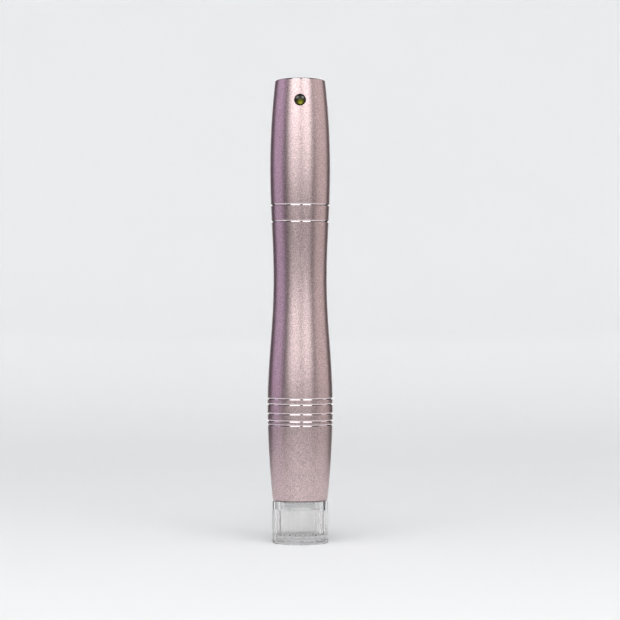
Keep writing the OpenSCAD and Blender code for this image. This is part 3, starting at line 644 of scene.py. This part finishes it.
def port_bezel():
    """The port's bushing, with a chamfered flange and a rounded mouth for the plug."""
    face, flange_r, flange_h = bezel_high.y, (bezel_high.x - bezel_low.x) / 2, 0.5
    bezel_r, hole_r, mouth_round, chamfer = 2.6, 1.35, 0.4, 0.08
    mouth_r = 1.75
    loop = plain((bezel_r, bezel_low.y), (bezel_r, face - flange_h), (flange_r, face - flange_h),
                 (flange_r, face - chamfer), (flange_r - chamfer, face), (mouth_r, face),
                 *arc(mouth_r, face - mouth_round, mouth_round, 90, 180), (hole_r, bezel_low.y))
    bm, _ = lathe(loop, SMALL_AROUND)
    turn_out(bm, 1)
    bmesh.ops.translate(bm, vec=(0, 0, z_port), verts=bm.verts)
    piece("port_bushing", bm, "housing", [black], ["port_bezel"])


# ---- Cap

CAP_SIDES, FLUTES = 12, 24
CLEAR, FROSTED = 0, 1

# Radius over the cap's corners, and its turn about the axis in degrees
cap_r, cap_turn = 8.25, 4.0


def cap_angles():
    """Directions round the cap, closer together at its corners, in degrees from the first corner."""
    sector = 360 / CAP_SIDES
    fine, first, coarse, columns = 0.4, 2.0, 1.3, 21
    one = [0, fine, 2 * fine] + [first + coarse * i for i in range(columns)]
    one += [sector - 2 * fine, sector - fine]
    return [sector * s + a for s in range(CAP_SIDES) for a in one]


def cap_edge(r, a, corner_round):
    """Distance from the axis to a rounded polygon that would reach r, at an angle from its first corner."""
    half = math.radians(180 / CAP_SIDES)
    off = abs((math.radians(a) + half) % (2 * half) - half)
    centre = r - corner_round / math.cos(half)
    if off < math.atan(corner_round * math.sin(half) / (centre + corner_round * math.cos(half))):
        return centre * math.cos(off) + math.sqrt(corner_round ** 2 - (centre * math.sin(off)) ** 2)
    return r * math.cos(half) / math.cos(half - off)


def protective_cap():
    """The cap, from its foot up the facets, over the rim and down the fluted well to its floor.

    The flutes are shallow on the grip's seat and on the wall, and deepen close above the floor.
    """
    start = -90 + cap_turn
    well_r, seat_r, z_floor, z_seat = 6.2, 6.45, 2.4, z_mouth - 0.3
    wall_flute, seat_flute, floor_flute = 0.12, 0.06, 0.32
    foot_corner, cap_corner = 0.4, 4.0

    def row(radius, z):
        """A round of the cap, from its radius as a function of the angle."""
        made = []
        for a in cap_angles():
            t = math.radians(a + start)
            made.append(Vector((radius(a) * math.cos(t), radius(a) * math.sin(t), z)))
        return made

    def outside(inset, z, corner=cap_corner):
        return row(lambda a: cap_edge(cap_r - inset, a, corner), z)

    def fluted(r, z, deep):
        return row(lambda a: r + deep * (1 - math.cos(math.radians(FLUTES * (a + start)))) / 2, z)

    foot = [(0.37, 0), (0.33, 0.03), (0.06, 0.3), (0, 0.38)]
    rows = [outside(inset, z, foot_corner) for inset, z in foot]
    rows += [outside(0, 0.9, 1.5), outside(0, 1.6, 3.0)] + [outside(0, z) for z in (2.6, 6.5, 9.5)]
    rows += [outside(0, z_cap_rim - 0.12), outside(0.04, z_cap_rim - 0.04), outside(0.12, z_cap_rim)]
    rows += [fluted(r, z, seat_flute) for r, z in
             ((seat_r + 0.1, z_cap_rim), (seat_r, z_cap_rim - 0.1), (seat_r, z_seat))]
    rows += [fluted(well_r, z, wall_flute) for z in (z_seat, 7.0, 4.5, z_floor + 0.45)]
    rows += [fluted(well_r - shrink, z_floor + up, floor_flute) for shrink, up in
             ((0.22, 0.35), (0.3, 0.12), (0.5, 0))]
    bm = bmesh.new()
    bevel = len(foot) - 1
    verts = skin(bm, rows, [FROSTED] * bevel + [CLEAR] * (len(rows) - bevel), closed=False)
    for end in (verts[0], verts[-1]):
        bm.faces.new(end).material_index = FROSTED
    cap = piece("clear_cap", bm, "cap", [clear, frosted], ["protective_cap"], sharp=12)
    cap.visible_shadow = False


for make in (front_grip, mid_barrel, centre_ring, tail_shell, end_plug, power_button, led_lens, port_bezel,
             protective_cap):
    make()


# ---- Camera, floor and light

SHEET_AROUND = 128


def polar(azimuth, elevation, distance):
    """A place round the pen's foot. Azimuth 0 is towards the camera, and 90 to the right in the picture."""
    a, e = math.radians(azimuth), math.radians(elevation)
    return Vector((distance * math.sin(a) * math.cos(e), -distance * math.cos(a) * math.cos(e),
                   distance * math.sin(e)))


def camera():
    """Level with the pen's middle, straight ahead, with the pen a little left of the picture's middle."""
    data = bpy.data.cameras.new("camera")
    data.sensor_width = 36
    data.lens = 137.5
    data.clip_start, data.clip_end = 0.05, 20
    obj = bpy.data.objects.new("camera", data)
    obj.location = (0.00287, -0.69, 0.0678)
    obj.rotation_euler = (math.radians(90), 0, 0)
    bpy.context.scene.collection.objects.link(obj)
    bpy.context.scene.camera = obj


def pale_floor(name):
    """Pale paper, which glows more the further it lies from the pen."""
    mat, tree, bsdf, coords = shader(name, Roughness=0.9, Specular_IOR_Level=0.1)
    tone = noise(tree, coords, 3.0, 2.0)
    tree.links.new(ramp(tree, tone, (0.3, (0.80, 0.81, 0.815)), (0.7, (0.82, 0.825, 0.83))),
                   bsdf.inputs["Base Color"])
    flat = times(tree, coords, (1, 1, 0))
    out = node(tree, "ShaderNodeVectorMath", {0: flat}, operation="LENGTH").outputs["Value"]
    glow = node(tree, "ShaderNodeMapRange", {"Value": out, "From Min": 0.1, "From Max": 1.2, "To Max": 0.26},
                interpolation_type="SMOOTHSTEP").outputs["Result"]
    bsdf.inputs["Emission Color"].default_value = (0.97, 0.99, 1.0, 1)
    tree.links.new(glow, bsdf.inputs["Emission Strength"])
    return mat


def disc(name, profile, material, filled=False):
    """A round sheet about the pen from (radius, height) points in metres, from the inside outwards."""
    bm = bmesh.new()
    rows = skin(bm, [ring(r, z, SHEET_AROUND) for r, z in profile], closed=False)
    if filled:
        bm.faces.new(rows[0])
    bmesh.ops.recalc_face_normals(bm, faces=bm.faces)
    for face in bm.faces:
        face.smooth = True
    mesh = bpy.data.meshes.new(name)
    bm.to_mesh(mesh)
    bm.free()
    mesh.materials.append(material)
    obj = bpy.data.objects.new(name, mesh)
    bpy.context.scene.collection.objects.link(obj)
    return obj


def lamp(name, place, aim, size, radiance, colour=(1, 1, 1), mirrored=True):
    """A soft box of a given radiance that faces a point, and that the camera doesn't see.

    It either shows in reflections alone, or lights matt surfaces alone.
    """
    data = bpy.data.lights.new(name, "AREA")
    data.shape = "RECTANGLE"
    data.size, data.size_y = size
    data.energy = radiance * math.pi * size[0] * size[1]
    data.color = colour
    obj = bpy.data.objects.new(name, data)
    obj.location = place
    obj.rotation_euler = (Vector(aim) - obj.location).to_track_quat("-Z", "Y").to_euler()
    obj.visible_camera = False
    obj.visible_glossy = mirrored
    obj.visible_diffuse = not mirrored
    obj.visible_transmission = False
    bpy.context.scene.collection.objects.link(obj)


def studio():
    """A floor that bends up into a backdrop, a dim world, and the lamps."""
    sheet = pale_floor("pale_sheet")
    table, flat, reach, height, bends = 0.2, 0.5, 2.2, 1.6, 32
    below = -0.00002
    disc("floor", [(0.005, below), (0.05, below), (table, 0)], sheet, filled=True)
    bend = [(flat + (reach - flat) * i / bends, height * (i / bends) ** 3) for i in range(bends + 1)]
    disc("backdrop", [(table, 0), *bend], sheet).visible_glossy = False
    world = bpy.data.worlds.new("studio")
    world.use_nodes = True
    world.node_tree.nodes["Background"].inputs["Color"].default_value = (0.06, 0.056, 0.06, 1)
    bpy.context.scene.world = world
    # Two rows of lamps lean over the pen from the front, and leave a gap on the right of the middle
    lean = Vector((0, 0.83, -0.56))
    for row, y, z, length, radiance, reaches in (
            ("low", -1.06, 0.515, 0.785, 1.45, ((-1.0, 0.0), (0.19, 1.08))),
            ("high", -0.535, 1.295, 1.095, 2.0, ((-0.68, 0.0), (0.17, 0.82)))):
        for side, (x0, x1) in zip(("left", "right"), reaches):
            middle = Vector(((x0 + x1) / 2, y, z))
            lamp(f"{row}_{side}", middle, middle + lean, (x1 - x0, length), radiance)
    centre = (0, 0, 0.067)
    lamp("fill", polar(0, 20, 1.5), centre, (3.4, 0.9), 0.58)
    lamp("mauve_card", polar(-94, 22, 0.9), centre, (0.84, 0.8), 0.7, (0.87, 0.70, 1.0))
    lamp("warm_card", polar(92, 22, 0.9), centre, (1.04, 0.8), 0.76, (1.0, 0.92, 0.9))
    lamp("rear_card", polar(180, 18, 1.0), centre, (0.85, 0.75), 1.2)
    lamp("rear_high", polar(180, 50, 1.2), centre, (1.3, 0.8), 0.34)
    for side in (-14, 14):
        lamp(f"table_{side}", polar(side, 42, 1.6), (0, 0, 0), (1.1, 1.1), 1.6, mirrored=False)
    lamp("top", (0, -0.6, 1.5), (0, 0, 0), (1.6, 1.6), 2.05, mirrored=False)
    bpy.context.scene.view_settings.view_transform = "Standard"


camera()
studio()
